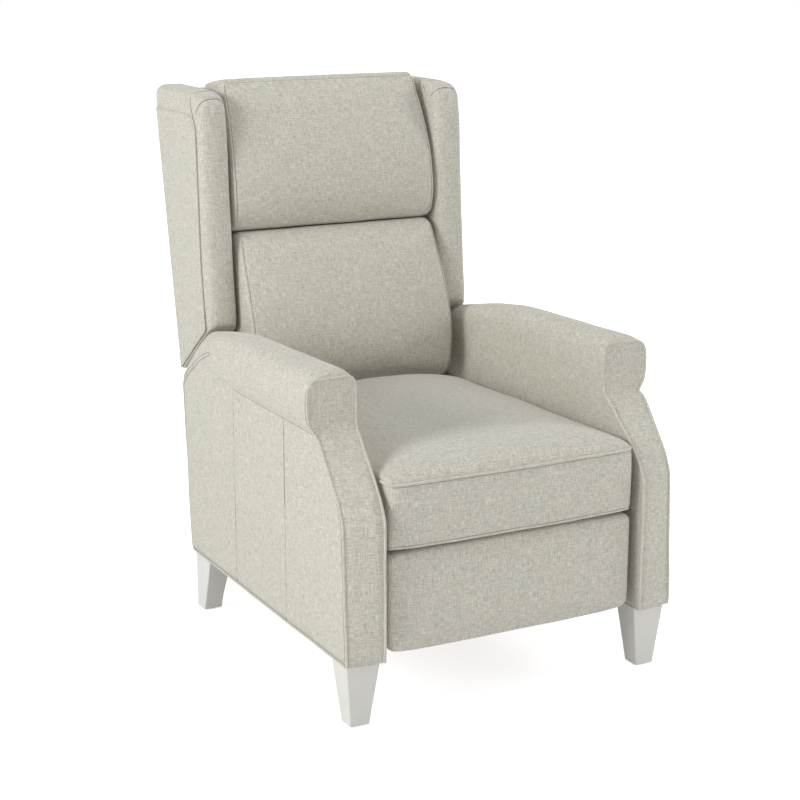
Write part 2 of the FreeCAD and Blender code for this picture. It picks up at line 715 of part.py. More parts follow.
def make_cushions():
    rear = cushion_back_w
    seam, top = cushion_seam, head_top
    lumbar_rows = [(lumbar_bottom, 233, rear, -26, 10, 22), (lumbar_bottom + 100, 235, rear, -40, 14, 22),
                   (seam - 115, 234, rear, -26, 14, 22), (seam - 1, 231, rear, 8, 10, 22)]
    head_rows = [(seam + 1, 234, rear, 20, 8, 22), (seam + 45, 235, rear, -2, 10, 22),
                 (seam + 115, 235, rear, -12, 12, 22), ((seam + top) / 2 + 45, 233, rear, -2, 12, 22),
                 (top, 225, rear, 28, 8, 22)]
    lumbar = Part.makeLoft([cushion_section(*row) for row in lumbar_rows], True, False)
    head = Part.makeLoft([cushion_section(*row) for row in head_rows], True, False)
    half = 300
    bottom_end = rounded_ends(-half, half, lumbar_bottom, 900, -55, 200, 58)
    top_end = rounded_ends(-half, half, -100, seam - 1, -6, 200, 26)
    below_top = box(-half, half, -80, 200, -100, seam - 27)
    lumbar = lumbar.common(bottom_end).common(fused([top_end, below_top]))
    head = head.common(rounded_ends(-half, half, seam + 1, top, -26, 200, 30))
    parts["lumbar_cushion"] = back_placed(lumbar)
    parts["head_cushion"] = back_placed(head)


def wing_section(u, front):
    x0, x1 = wing_inner_x, wing_outer_x
    steps = [
        [(x0, back_panel_w)], [(x1, back_panel_w)], [(x1, front + 28)],
        [(x1 - 7, front + 9), (x1 - 22, front)],
        [((x0 + x1) / 2, front - 3), (x0 + 24, front + 2)],
        [(x0 + 5, front + 14), (x0, front + 32)],
    ]
    return wire_of([[V(x, w, u) for x, w in step] for step in steps])


def make_wings():
    rows = [(130, 25), (445, -6), (760, -46)]
    wing = Part.makeLoft([wing_section(*row) for row in rows], True, False)
    low_cut = side_plate(200, 150, [
        [(-60, 276)], [(39, 227)], [(203, 145)], [(260, 117)], [(260, 80)], [(-60, 80)]])
    wing = back_placed(wing.cut(low_cut))
    x0, x1 = wing_inner_x, wing_outer_x
    cap = wire_of([[V(x, 600, z) for x, z in step] for step in [
        [(x0, 440)], [(x1, 440)], [(x1, wing_top_z - 36)], [(x1 - 5, wing_top_z - 11), (x1 - 26, wing_top_z)],
        [(x0 + 20, wing_top_z + wing_cap_rise)], [(x0 + 6, wing_top_z - 5), (x0, wing_top_z - 22)]]])
    wing = wing.common(extruded(cap, V(0, 420, 0)))
    stile = box(stile_inner_x, stile_outer_x, stile_front_w, stile_rear_w, 30, stile_top_u)
    board = side_plate(276, 12, [[(62, 262)], [(50, 374)], [(30, 500)], [(16, 620)], [(24, 650)],
                                 [(190, 680)], [(190, 180)]])
    panel = side_plate(x1 - 3, 3, [[(41, 232)], [(32, 374)], [(14, 500)], [(-4, 622)], [(-2, 645), (16, 658)],
                                   [(197, 692)], [(197, 153)]])
    welt = cord([(V(x1 - 0.5, w, u), bend) for w, u, bend in (
        (39, 233, 0), (30, 374, 400), (-8, 656, 12), (198, 694, 0))], welt_radius)
    stile, board, panel, welt = [back_placed(s) for s in (stile, board, panel, welt)]
    panel = panel.cut(welt)
    plate_face = bracket_x + sheet
    bolts = [back_placed(fused([rod_x(stile_outer_x - 16, plate_face, w, u, 4),
                                rod_x(plate_face, plate_face + 2.5, w, u, 7)])) for w, u in bracket_holes]
    bracket_plate = bracket()
    solids = [stile, board, panel, welt, bracket_plate, back_placed(back_rails())] + bolts
    wing = wing.cut(Part.makeCompound(solids))
    both("wing_pad", max(wing.Solids, key=lambda s: s.Volume))
    pair("wing_boards", board)
    pair("wing_panels", panel)
    pair("wing_welts", welt)
    pair("back_stiles", stile.cut(Part.makeCompound(bolts)))
    pair("back_brackets", bracket_plate.cut(Part.makeCompound(bolts)))
    parts["bracket_bolts"] = grouped(bolts)


def bracket():
    """Steel arm from the back pivot to the stile's outer face."""
    low, high = bracket_heights
    plate = side_plate(bracket_x, sheet, [
        [(-14, 0)], [(-10, 12), (0, 16)], [(bracket_wide_w, high)], [(bracket_reach_w, high)],
        [(bracket_reach_w, low)], [(bracket_wide_w, low)], [(8, -14)],
        [(-6, -13), (-14, 0)]])
    hole = rod_x(bracket_x - 1, bracket_x + sheet + 1, 0, 0, back_pin_radius + pin_clearance)
    return back_placed(plate.cut(hole))


def back_rails():
    """Bottom and middle rails on edge between the stiles, and the flat top rail across their ends."""
    half = stile_inner_x
    front = cushion_back_w + strap_thick
    rails = [box(-half, half, front, front + 20, u, u + 40) for u in (34, 404)]
    rails.append(box(-stile_outer_x, stile_outer_x, front, stile_rear_w, stile_top_u,
                     stile_top_u + top_rail_thick))
    return Part.makeCompound(rails)


def make_back_frame():
    front = cushion_back_w + strap_thick
    parts["back_rails"] = back_placed(back_rails())
    straps = [box(x - strap_width / 2, x + strap_width / 2, cushion_back_w, front, 40, stile_top_u + 18)
              for x in strap_places]
    parts["back_straps"] = back_placed(Part.makeCompound(straps))
    wide, narrow, split = back_panel_half, back_panel_narrow, back_panel_split_u
    low, high = back_panel_low_u, back_panel_top_u
    outline = wire_of([[V(x, back_panel_w, u) for x, u in step] for step in [
        [(-narrow, low)], [(narrow, low)], [(narrow, split)], [(wide, split)], [(wide, high - 22)],
        [(wide - 4, high - 6), (wide - 18, high)], [(-wide + 18, high)],
        [(-wide + 4, high - 6), (-wide, high - 22)],
        [(-wide, split)], [(-narrow, split)]]])
    parts["back_panel"] = back_placed(extruded(outline, V(0, back_panel_thick, 0)))
    seat_u = stile_top_u + top_rail_thick
    top = box(-wing_inner_x, wing_inner_x, cushion_back_w + 1, back_panel_w, seat_u, seat_u + top_pad_thick)
    top = top.makeFillet(8, [e for e in top.Edges if abs(e.CenterOfMass.z - top.BoundBox.ZMax) < 0.1])
    parts["top_pad"] = back_placed(top)


def build():
    bolts = make_arms()
    make_channels(bolts)
    side_rail = make_seat()
    make_linkage(side_rail)
    make_cushions()
    make_wings()
    make_back_frame()
    os.makedirs("parts", exist_ok=True)
    for name, shape in parts.items():
        placed = shape.translated(V(0, shift_y, 0))
        placed.exportStep("parts/" + name + ".step")
    print(len(parts), "nodes")


if __name__ == "__main__":
    build()
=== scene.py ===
import bmesh
import bpy
import json
import math
from mathutils import Matrix, Vector, noise
from mathutils.bvhtree import BVHTree


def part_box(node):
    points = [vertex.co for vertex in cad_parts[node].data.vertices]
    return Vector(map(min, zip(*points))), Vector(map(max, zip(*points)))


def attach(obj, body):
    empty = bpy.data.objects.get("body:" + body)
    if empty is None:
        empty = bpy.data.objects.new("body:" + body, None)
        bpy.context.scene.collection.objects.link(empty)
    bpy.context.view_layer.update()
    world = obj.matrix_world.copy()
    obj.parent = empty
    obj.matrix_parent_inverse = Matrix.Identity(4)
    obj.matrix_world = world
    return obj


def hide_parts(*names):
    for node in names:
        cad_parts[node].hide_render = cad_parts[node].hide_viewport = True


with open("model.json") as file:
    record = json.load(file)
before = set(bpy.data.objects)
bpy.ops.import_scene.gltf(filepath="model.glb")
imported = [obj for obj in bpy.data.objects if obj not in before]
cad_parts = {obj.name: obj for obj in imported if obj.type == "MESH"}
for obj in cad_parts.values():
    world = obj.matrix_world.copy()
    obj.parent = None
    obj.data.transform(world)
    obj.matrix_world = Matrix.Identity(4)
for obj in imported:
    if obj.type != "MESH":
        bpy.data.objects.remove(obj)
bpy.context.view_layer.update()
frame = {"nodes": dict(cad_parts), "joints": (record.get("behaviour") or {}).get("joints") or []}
scene = bpy.context.scene
print("frame loaded:", len(frame["nodes"]), "nodes")

# Sizes below are millimetres: X from the middle, Y back from a line just behind the arms' front faces,
# and Z from the floor
armFrontY = -29.0
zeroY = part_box("arm_fronts")[0].y * 1000 - armFrontY
backJoint = next(j for j in frame["joints"] if j["name"] == "back_recline")
backPivot = Vector(backJoint["pos_m"]) * Vector((0, 1, 1))
backTurn = Matrix.Rotation(-math.radians(10.5), 3, "X")  # the back's lean at rest


def at(x, y, z):
    return Vector((x, y + zeroY, z)) / 1000


def moved(points, x, y, z):
    return [p + Vector((x, y, z)) / 1000 for p in points]


def backAt(x, w, u):  # w is depth behind the back's pivot, u is height along the leaning back
    return backPivot + backTurn @ Vector((x, w, u)) / 1000


def backLocal(p):  # the same the other way: a point in the back's own axes, in millimetres
    return (backTurn.inverted() @ (p - backPivot)) * 1000


# Camera at the photograph's viewpoint
cameraSetup = {"place": at(-1728.7, -2842.8, 1444.9), "turn": (75.36, 0.0, -27.79), "lens": 85.0,
               "sensor": 36.0}


def makeCamera():
    data = bpy.data.cameras.new("camera")
    data.lens = cameraSetup["lens"]
    data.sensor_width = cameraSetup["sensor"]
    camera = bpy.data.objects.new("camera", data)
    camera.location = cameraSetup["place"]
    camera.rotation_euler = [math.radians(a) for a in cameraSetup["turn"]]
    scene.collection.objects.link(camera)
    scene.camera = camera


# Mesh helpers
def newPiece(name, bm):
    mesh = bpy.data.meshes.new(name)
    bm.normal_update()
    bm.to_mesh(mesh)
    bm.free()
    piece = bpy.data.objects.new(name, mesh)
    scene.collection.objects.link(piece)
    return piece


def gridSlab(name, columns, rows, place, crease=None):
    # closed slab: a grid and its copy a thickness away, joined round the border
    bm = bmesh.new()
    bmesh.ops.create_grid(bm, x_segments=columns - 1, y_segments=rows - 1, size=1)
    column = bm.verts.layers.int.new("column")
    row = bm.verts.layers.int.new("row")
    far = bm.verts.layers.int.new("far")
    for v in bm.verts:
        v[column] = round((v.co.x + 1) / 2 * (columns - 1))
        v[row] = round((v.co.y + 1) / 2 * (rows - 1))
    bmesh.ops.solidify(bm, geom=bm.faces[:], thickness=0.1)
    for v in bm.verts:
        v[far] = 1 if abs(v.co.z) > 0.01 else 0
    seats = {v: (v[column], v[row], v[far]) for v in bm.verts}
    for v, seat in seats.items():
        v.co = place(*seat)
    if crease:
        creases = bm.edges.layers.float.new("crease_edge")
        for e in bm.edges:
            e[creases] = crease(seats[e.verts[0]], seats[e.verts[1]])
    bmesh.ops.recalc_face_normals(bm, faces=bm.faces[:])
    return newPiece(name, bm)


def applyModifiers(piece):
    graph = bpy.context.evaluated_depsgraph_get()
    mesh = bpy.data.meshes.new_from_object(piece.evaluated_get(graph))
    piece.modifiers.clear()
    old = piece.data
    piece.data = mesh
    bpy.data.meshes.remove(old)
    return piece


def subdivided(piece, levels):
    smooth = piece.modifiers.new("smooth", "SUBSURF")
    smooth.levels = levels
    smooth.render_levels = levels
    return applyModifiers(piece)


def finished(piece, turn=None):
    # shades the piece smooth and lays the cloth on it: each face takes the plane that it faces most
    mesh = piece.data
    mesh.shade_smooth()
    uvs = mesh.uv_layers.new(name="cloth").data
    back = (turn or Matrix.Identity(3)).inverted()
    for face in mesh.polygons:
        n = back @ face.normal
        sizes = [abs(c) for c in n]
        lead = sizes.index(max(sizes))
        for loop in face.loop_indices:
            p = back @ mesh.vertices[mesh.loops[loop].vertex_index].co
            uvs[loop].uv = ((p.y, p.z), (p.x, p.z), (p.x, p.y))[lead]
    return piece


def uneven(piece, depth, size, seed):
    # gentle hollows and rises of the stuffing
    shift = Vector((seed * 3.1, seed * 7.7, seed * 1.3))
    mesh = piece.data
    moves = [v.normal * noise.noise(v.co / size + shift) * depth for v in mesh.vertices]
    for v, move in zip(mesh.vertices, moves):
        v.co += move
    mesh.update()


def remeshed(piece, voxel):
    remesh = piece.modifiers.new("remesh", "REMESH")
    remesh.mode = "VOXEL"
    remesh.voxel_size = voxel
    return applyModifiers(piece)


air = {"pressure": 4.0, "frames": 20, "mass": 0.3, "stretch": 15, "shear": 5, "bend": 0.5, "quality": 5}


def inflated(piece, pinned, cap, voxel=0.006):
    # blows the cover up from inside with Cloth, held where pinned(point) says, and keeps the result
    remeshed(piece, voxel)
    rest = [v.co.copy() for v in piece.data.vertices]
    held = piece.vertex_groups.new(name="held")
    for i, co in enumerate(rest):
        weight = pinned(co)
        if weight > 0:
            held.add([i], weight, "REPLACE")
    blown = piece.modifiers.new("cloth", "CLOTH")
    settings = blown.settings
    settings.quality = air["quality"]
    settings.mass = air["mass"]
    settings.tension_stiffness = air["stretch"]
    settings.compression_stiffness = air["stretch"]
    settings.shear_stiffness = air["shear"]
    settings.bending_stiffness = air["bend"]
    settings.use_pressure = True
    settings.uniform_pressure_force = air["pressure"]
    settings.effector_weights.gravity = 0
    settings.vertex_group_mass = "held"
    blown.point_cache.frame_start = 1
    blown.point_cache.frame_end = air["frames"]
    for f in range(1, air["frames"] + 1):
        scene.frame_set(f)
    applyModifiers(piece)
    for v, co in zip(piece.data.vertices, rest):
        move = v.co - co
        if move.length > cap:
            v.co = co + move.normalized() * cap
    scene.frame_set(1)
    return piece


def relaxed(piece, times):
    # takes the remesh's small steps out of the cover
    bm = bmesh.new()
    bm.from_mesh(piece.data)
    for _ in range(times):
        bmesh.ops.smooth_vert(bm, verts=bm.verts[:], factor=0.5, use_axis_x=True, use_axis_y=True,
                              use_axis_z=True)
    bm.to_mesh(piece.data)
    bm.free()
    return piece


def surfaceOf(piece):
    return BVHTree.FromPolygons([v.co for v in piece.data.vertices],
                                [p.vertices[:] for p in piece.data.polygons])


def curvePiece(name, points, radius):
    # a round cord through the points, made a mesh
    data = bpy.data.curves.new(name, "CURVE")
    data.dimensions = "3D"
    spline = data.splines.new("NURBS")
    spline.points.add(len(points) - 1)
    for slot, p in zip(spline.points, points):
        slot.co = (*p, 1)
    spline.order_u = 3
    spline.use_endpoint_u = True
    spline.resolution_u = 4
    data.bevel_depth = radius
    data.bevel_resolution = 3
    data.use_fill_caps = True
    drawn = bpy.data.objects.new(name + "Line", data)
    scene.collection.objects.link(drawn)
    bpy.context.view_layer.update()
    mesh = bpy.data.meshes.new_from_object(drawn.evaluated_get(bpy.context.evaluated_depsgraph_get()))
    mesh.name = name
    bpy.data.objects.remove(drawn)
    mesh.shade_smooth()
    piece = bpy.data.objects.new(name, mesh)
    scene.collection.objects.link(piece)
    return piece


def evenly(points, step):
    # points a step apart along straight runs
    result = [points[0]]
    for a, b in zip(points, points[1:]):
        count = max(1, round((b - a).length / step))
        result += [a.lerp(b, i / count) for i in range(1, count + 1)]
    return result


def welt(name, surfaces, route, radius, lift=0.0, step=0.012):
    # a round welt laid on the cover along a route
    laid = []
    for p in evenly(route, step):
        hits = [s.find_nearest(p) for s in surfaces]
        place, normal, _, _ = min((h for h in hits if h[0]), key=lambda h: h[3])
        laid.append(place + normal * lift)
    return curvePiece(name, laid, radius)


def dressed(piece, body, kind):
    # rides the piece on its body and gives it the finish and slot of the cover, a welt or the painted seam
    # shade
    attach(piece, body)
    piece.data.materials.append(finish[kind])
    return piece


def seamThread(name, surfaces, route, body, radius=0.00045):
    # painted shade: a thin dark cord laid in a sewn seam, standing for the shade in its groove
    dressed(welt(name, surfaces, route, radius, -0.0001, 0.008), body, "thread")


# Arms
arm = {"side": 350.0, "bottom": 128.0, "face": 102.0, "softEdge": 15.0, "crest": 648.0, "neck": 530.0,
       "neckRow": 9, "seamDepths": (237, 476), "seamLow": 133.0, "seamTops": (524, 526),
       "weltRadius": 0.0028, "rearWeltRadius": 0.0026, "faceWeltRadius": 0.0021}
armTurns = (0.0, 22.0, 45.0, 68.0, 90.0)  # degrees round the padded edge from the roll's face
armStations = [  # depth, crest, outer side's neck, share of the full roll, lean of the rest, depth of a seam
    (150, 647, 530, 0.96, 0.4, 0), (234.6, 644, 530, 0.87, 0.4, 0), (237, 644, 530, 0.87, 0.4, 1.6),
    (239.4, 644, 530, 0.87, 0.4, 0), (350, 641, 530, 0.75, 0.4, 0), (420, 639, 531, 0.66, 0.4, 0),
    (473.6, 636, 532, 0.58, 0.4, 0), (476, 636, 532, 0.58, 0.4, 1.6), (478.4, 635.8, 532, 0.58, 0.4, 0),
    (560, 625, 536, 0.4, 0.4, 0), (610, 616, 542, 0.27, 0.42, 0), (650, 608, 545, 0.12, 0.48, 0)]
armRear = [  # distance in front of the rear face, crest, outer neck, lean, inset of the edge
    (48, 597, 518, 0.7, 0), (18, 588, 496, 0.9, 0), (5, 580, 488, 1, 1), (0, 566, 486, 1, 6)]
armRoll = [  # share of the height from neck to crest, outer face, inner face, outer face at the rear
    (0, 349, 268, 350), (0.04, 351.5, 267.5, 350), (0.11, 359, 267, 350), (0.2, 365.5, 266.5, 347),
    (0.35, 368.5, 266, 337), (0.53, 368.5, 266, 326), (0.69, 364.5, 267.5, 313), (0.83, 355.5, 271.5, 300),
    (0.925, 340, 280, 289), (0.98, 320, 291, 280), (1, 306, 298, 272)]
armFace = [  # outer side and height, inner side and height of the flat face, from the neck to the crest
    (349, 530, 268, 530), (351, 535, 267.5, 535), (356.5, 543, 267, 543), (361.5, 553, 266.5, 553),
    (363.5, 571, 266, 571), (364, 592, 266, 592), (363.5, 610, 266, 609), (360, 624, 267, 622),
    (349, 630.5, 272, 630), (331, 632, 283, 632), (309, 632.5, 298, 632.5)]
armFront = [  # height, front edge's depth on the outer and on the inner side, inner face
    (129, -20, -31, 275), (190, -19, -31, 275), (250, -14, -31, 275), (345, -12, -32, 275),
    (395, -9, -31, 275), (430, 8, -11, 274), (467, 38, 22, 272), (505, 68, 64, 270), (524, 84, 83, 268.5),
    (530, 101, 91, 268), (535, 102, 97, 268), (543, 102, 101, 267)]
armRearEdge = (  # depth and height of the rear welt up the side panel
    (712, 129.5), (721, 138), (735, 330), (744, 465), (741, 486), (722, 506), (700, 522), (650, 554),
    (612, 572), (592, 578))
armColumns = len(armTurns) + len(armStations) + len(armRear)
armRows = arm["neckRow"] + len(armRoll)
armSeamColumns = [len(armTurns) + i for i, station in enumerate(armStations) if station[-1] > 0]


def armRearFace(z):
    # the rear face leans back up to the pad's shoulder and stands nearly upright above it
    shoulder, foot = 482, 129
    return 723 + (min(z, shoulder) - foot) / (shoulder - foot) * 25 + max(0, min(z - shoulder, 60)) * 0.06


def armPlace(side):
    turns, middle, neckRow = len(armTurns), len(armStations), arm["neckRow"]

    def place(column, row, far):
        soft = math.radians(armTurns[column]) if column < turns else math.pi / 2
        seam = ahead = edge = 0
        if column < turns:
            crest, low, share, lean = arm["crest"], arm["neck"], 1, 0
        elif column < turns + middle:
            y, crest, low, share, lean, seam = armStations[column - turns]
        else:
            ahead, crest, low, lean, edge = armRear[column - turns - middle]
            share = 0
        neck = low if far else min(low, arm["neck"]) * 0.3 + arm["neck"] * 0.7
        if row < neckRow:
            foot, top = armFront[0][0], armFront[neckRow][0]
            z = arm["bottom"] + (armFront[row][0] - foot) * (neck - arm["bottom"]) / (top - foot)
            x = arm["side"] - seam if far else armFront[row][3]
        else:
            up, rollOut, rollIn, rearOut = armRoll[row - neckRow]
            z = neck + up * (crest - neck)
            outer = share * rollOut + (1 - share) * (arm["side"] - lean * (arm["side"] - rearOut))
            inner = min(rollIn, outer - 8)
            x = outer if far else inner
            edge = min(edge, (outer - inner) / 4)
            faceX, faceZ = armFace[row - neckRow][:2] if far else armFace[row - neckRow][2:]
            x += (faceX - x) * (1 - math.sin(soft))
            z += (faceZ - z) * (1 - math.sin(soft))
            if up < 0.03 and far:
                x -= seam
        x += (-edge if far else edge)
        if column < turns:
            front = armFront[row][1 if far else 2] if row < len(armFront) else arm["face"]
            y = front + (arm["face"] + arm["softEdge"] - front) * (1 - math.cos(soft))
        elif column >= turns + middle:
            y = armRearFace(z) - ahead
        elif row < neckRow:
            y = min(y, armRearFace(z) - 60)
        return at(side * x, y, z)
    return place


def armCrease(a, b):
    neckRow = arm["neckRow"]
    sameColumn, sameRow = a[0] == b[0], a[1] == b[1]
    if a[2] != b[2]:
        return 0.95 if a[1] == 0 or (a[0] == 0 and a[1] <= neckRow + 1) else 0.0
    if a[1] == b[1] == 0:
        return 0.9
    if a[0] == b[0] == 0:
        return 0.95 if min(a[1], b[1]) <= neckRow else 0.75
    if a[2] and sameColumn and max(a[1], b[1]) <= neckRow:
        away = min(abs(a[0] - seam) for seam in armSeamColumns)
        return (1.0, 0.7, 0.0)[min(away, 2)]
    if a[2] and sameRow and a[1] == neckRow:
        return max(0.0, 1.0 - max(0, min(a[0], b[0]) - 10) * 0.2)
    return 0.0


def armSide(side, points):
    return [at(side * arm["side"], y, z) for y, z in points]


def armWelts(label, side, surface, place):
    # the round welts and, beside each, a dark cord of painted shade along the line where it is sewn in
    neckRow, radius = arm["neckRow"], arm["weltRadius"]
    outer = [place(0, row, 1) for row in range(neckRow + 1)]
    inner = [place(0, row, 0) for row in range(neckRow + 1)]
    bottom = armSide(side, ((-14, 129.5), (400, 129.5), (712, 129.5)))
    rear = armSide(side, armRearEdge)
    rim = [place(0, row, 1) for row in range(neckRow, armRows)]
    rim += [place(0, row, 0) for row in range(armRows - 1, neckRow - 1, -1)]
    welts = [welt(label + "ArmOuterWelt", surface, outer, radius, 0.0002),
             welt(label + "ArmInnerWelt", surface, inner, radius, 0.0002),
             welt(label + "ArmRearWelt", surface, bottom + rear, arm["rearWeltRadius"], 0.0003),
             welt(label + "ArmFaceWelt", surface, rim, arm["faceWeltRadius"], 0.0)]
    seams = {"ArmOuter": moved(outer, 0, 4.6, 0),
             "ArmFace": moved(rim, 0, 3.6, 0),
             "ArmRear": moved(rear[2:], 0, -3.2, -3.2),
             "ArmRearUpper": moved(rear[4:], 0, 3, 3.4),
             "ArmBottom": moved(bottom, 0, 0, 4),
             "ArmCrease": [place(column, neckRow, 1) for column in range(2, 14)]}
    for letter, depth, top in zip("AB", arm["seamDepths"], arm["seamTops"]):
        seams["ArmSeam" + letter] = armSide(side, ((depth, arm["seamLow"]), (depth, top)))
    for seam, route in seams.items():
        seamThread(label + seam + "Thread", surface, route, "base")
    return welts


def makeArm(label, side):
    place = armPlace(side)
    piece = gridSlab(label + "Arm", armColumns, armRows, place, armCrease)
    subdivided(piece, 2)
    uneven(piece, 0.0010, 0.09, 1 + side)
    finished(piece)
    welts = armWelts(label, side, [surfaceOf(piece)], place)
    dressed(piece, "base", "cover")
    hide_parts("arm_pad_" + label[0])
    if side < 0:
        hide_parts("arm_fronts", "arm_sides")
        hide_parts("arm_welts")
    for item in welts:
        dressed(item, "base", "welt")


# Seat cushion with its front band, over the seat frame
seat = {"half": 261.0, "front": -19.0, "rear": 640.0, "bandBottom": 331.0, "seam": 455.0,
        "underside": 401.0, "bow": 5.0, "crown": 22.0, "crownPower": 3.4, "edgeRow": 8, "frontRows": 13,
        "frontSink": 8, "rearSink": 4, "corner": 6, "cap": 0.006, "weltRadius": 0.0026}
seatShares = (-1, -0.985, -0.94, -0.83, -0.5, -0.17, 0.17, 0.5, 0.83, 0.94, 0.985, 1)
seatOuter = [  # depth behind the front, height, share of the crown
    (5, 331, 0), (0.5, 335, 0), (-2, 365, 0), (-3, 400, 0), (-2.5, 435, 0), (1, 451, 0), (2.5, 455, 0),
    (0.5, 459, 0), (1.5, 464, 0.1), (8, 469, 0.3), (25, 471.5, 0.6), (70, 472, 0.75), (170, 468, 0.9),
    (330, 462, 1.1), (480, 456, 1.3), (600, 452, 1.45), (645, 450, 1.5), (655, 446, 1.3), (659, 430, 0.2)]
seatInner = [  # depth and height of the underside, from the band's foot to the rear
    (14, 331), (14, 335), (14, 360), (14, 378), (14, 390), (14, 396), (15, 399), (18, 401), (22, 401),
    (30, 401), (50, 401), (100, 401), (180, 401), (330, 401), (480, 401), (600, 401), (630, 401), (636, 401),
    (640, 401)]


def seatPlace(column, row, far):
    share = seatShares[column]
    x = share * seat["half"]
    if not far:
        return at(x, *seatInner[row])
    back, z, lift = seatOuter[row]
    z += lift * seat["crown"] * (1 - abs(share) ** seat["crownPower"])
    corner = max(0, (abs(share) - 0.9) / 0.1)
    if row > seat["edgeRow"]:
        z -= (seat["frontSink"] if row < seat["frontRows"] else seat["rearSink"]) * corner ** 2
    y = seat["front"] + back - seat["bow"] * (1 - share ** 2) + seat["corner"] * corner ** 2
    return at(x, min(y, seat["rear"]), z)


def seatHeld(p):
    # how firmly the frame, the seams and the sides hold the cover at a point while it is blown up
    front, rear = at(0, seat["front"], 0).y, at(0, seat["rear"], 0).y
    if p.z < seat["underside"] / 1000 + 0.004 and p.y > front + 0.02:
        return 1.0
    if p.z < seat["bandBottom"] / 1000 + 0.006 or p.y > rear - 0.05:
        return 1.0
    if p.y < front + 0.014 and abs(p.z - seat["seam"] / 1000) < 0.006:
        return 1.0
    return 0.9 if abs(p.x) > seat["half"] / 1000 - 0.006 else 0.0


def seatWelt(label, surface, z, side):
    # round the band's front at one height, with a dark cord of painted seam shade on the given side of it
    x, y = seat["half"] - 2, seat["front"] - 3
    route = [at(-x, y + 40, z), at(-x, y + 9, z), at(-x + 12, y + 2, z), at(0, y - 6, z),
             at(x - 12, y + 2, z), at(x, y + 9, z), at(x, y + 40, z)]
    item = welt("seat" + label + "Welt", surface, route, seat["weltRadius"], 0.0008)
    # painted shade: a dark cord beside the welt
    seamThread("seat" + label + "Thread", surface, moved(route, 0, 0, side * 4.4), "seat")
    return item


def makeSeat():
    piece = gridSlab("seatCushion", len(seatShares), len(seatOuter), seatPlace)
    subdivided(piece, 2)
    inflated(piece, seatHeld, seat["cap"], voxel=0.007)
    relaxed(piece, 2)
    subdivided(piece, 1)
    uneven(piece, 0.0016, 0.11, 5)
    finished(piece)
    surface = [surfaceOf(piece)]
    welts = [seatWelt("Top", surface, seat["seam"], -1),
             seatWelt("Bottom", surface, seat["bandBottom"] + 1.5, 1)]
    dressed(piece, "seat", "cover")
    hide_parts("seat_cushion", "seat_band")
    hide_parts("seat_welts")
    for item in welts:
        dressed(item, "seat", "welt")


# Footrest pad round its board
rest = {"half": 262.5, "low": 131.0, "high": 326.5, "front": -17.0, "rear": 19.4, "corner": 26.0,
        "cap": 0.008}
restShares = (-1, -0.985, -0.96, -0.92, -0.6, -0.2, 0.2, 0.6, 0.92, 0.96, 0.985, 1)
restHeights = (0, 0.015, 0.06, 0.15, 0.4, 0.7, 0.9, 0.96, 0.99, 1)
restEdge = (0, 1.5, 9)  # how far the front face falls back on its last two rings


def restPlace(column, row, far):
    x = restShares[column] * rest["half"]
    out = max(0.0, abs(x) - (rest["half"] - rest["corner"]))
    cut = rest["corner"] - math.sqrt(rest["corner"] ** 2 - out ** 2)
    low = rest["low"] + cut
    high = rest["high"] - cut * 0.35
    z = low + restHeights[row] * (high - low)
    y = rest["rear"]
    if far:
        inwards = min(column, len(restShares) - 1 - column, row, len(restHeights) - 1 - row)
        y = rest["front"] + restEdge[max(0, 2 - inwards)]
    return at(x, y, z)


def restHeld(p):
    if p.y > at(0, rest["rear"], 0).y - 0.012:
        return 1.0
    low, high = rest["low"] / 1000 + 0.003, rest["high"] / 1000 - 0.003
    return 0.7 if abs(p.x) > rest["half"] / 1000 - 0.003 or p.z > high or p.z < low else 0.0


def makeFootrest():
    piece = gridSlab("footrestPad", len(restShares), len(restHeights), restPlace)
    subdivided(piece, 2)
    inflated(piece, restHeld, rest["cap"])
    relaxed(piece, 3)
    subdivided(piece, 1)
    uneven(piece, 0.0012, 0.1, 9)
    finished(piece)
    dressed(piece, "footrest", "cover")
    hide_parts("rest_pad")


# Back cushions, in the back's own leaning axes
# Rows: height, depth of the front edge at the sides, crown, half of the width, rise in the middle
lumbar = {"name": "lumbarCushion", "node": "lumbar_cushion", "cap": 0.007, "rows": (
    (73, 30, 3, 232, 23), (75, 10, 4, 233, 22), (84, -7, 7, 234, 20), (102, -21, 10, 235, 16),
    (132, -33, 12, 235, 10), (176, -41, 14, 235, 3), (230, -41, 15, 235, 0), (290, -30, 14, 234, 0),
    (345, -15, 13, 232, 0), (390, -4, 11, 230, 0), (410, 2, 8, 229, 0), (420, 10, 5, 228, 0),
    (425, 26, 3, 227, 0))}
head = {"name": "headCushion", "node": "head_cushion", "cap": 0.007, "rows": (
    (425, 34, 3, 232, 0), (428, 20, 5, 233, 0), (435, 10, 7, 234, 0), (450, 0, 9, 234, 0),
    (475, -8, 10, 235, 0), (520, -14, 12, 235, 0), (580, -12, 13, 234, 0), (640, -2, 12, 231, 0),
    (690, 13, 9, 228, -1), (719, 22, 6, 227, -1), (733, 27, 4, 227, 0), (739, 34, 3, 227, 1),
    (741, 50, 2, 226, 1))}
cushionRear = 125.0
cushionShares = (  # share of the half width, and how far the front lies back there
    (-1, 12), (-0.99, 3.5), (-0.955, 0), (-0.85, 0), (-0.5, 0), (0, 0), (0.5, 0), (0.85, 0), (0.955, 0),
    (0.99, 3.5), (1, 12))


def cushionPlace(cushion):
    def place(column, row, far):
        u, front, crown, half, rise = cushion["rows"][row]
        share, back = cushionShares[column]
        u += rise * (1 - share ** 2)
        w = front + back - crown * (1 - share ** 4) if far else cushionRear
        return backAt(share * half, w, u)
    return place


def edgeRoute(cushion, share, rows):
    rim = cushion["rows"]
    return [backAt(share * rim[i][3], rim[i][1] + 2, rim[i][0]) for i in rows]


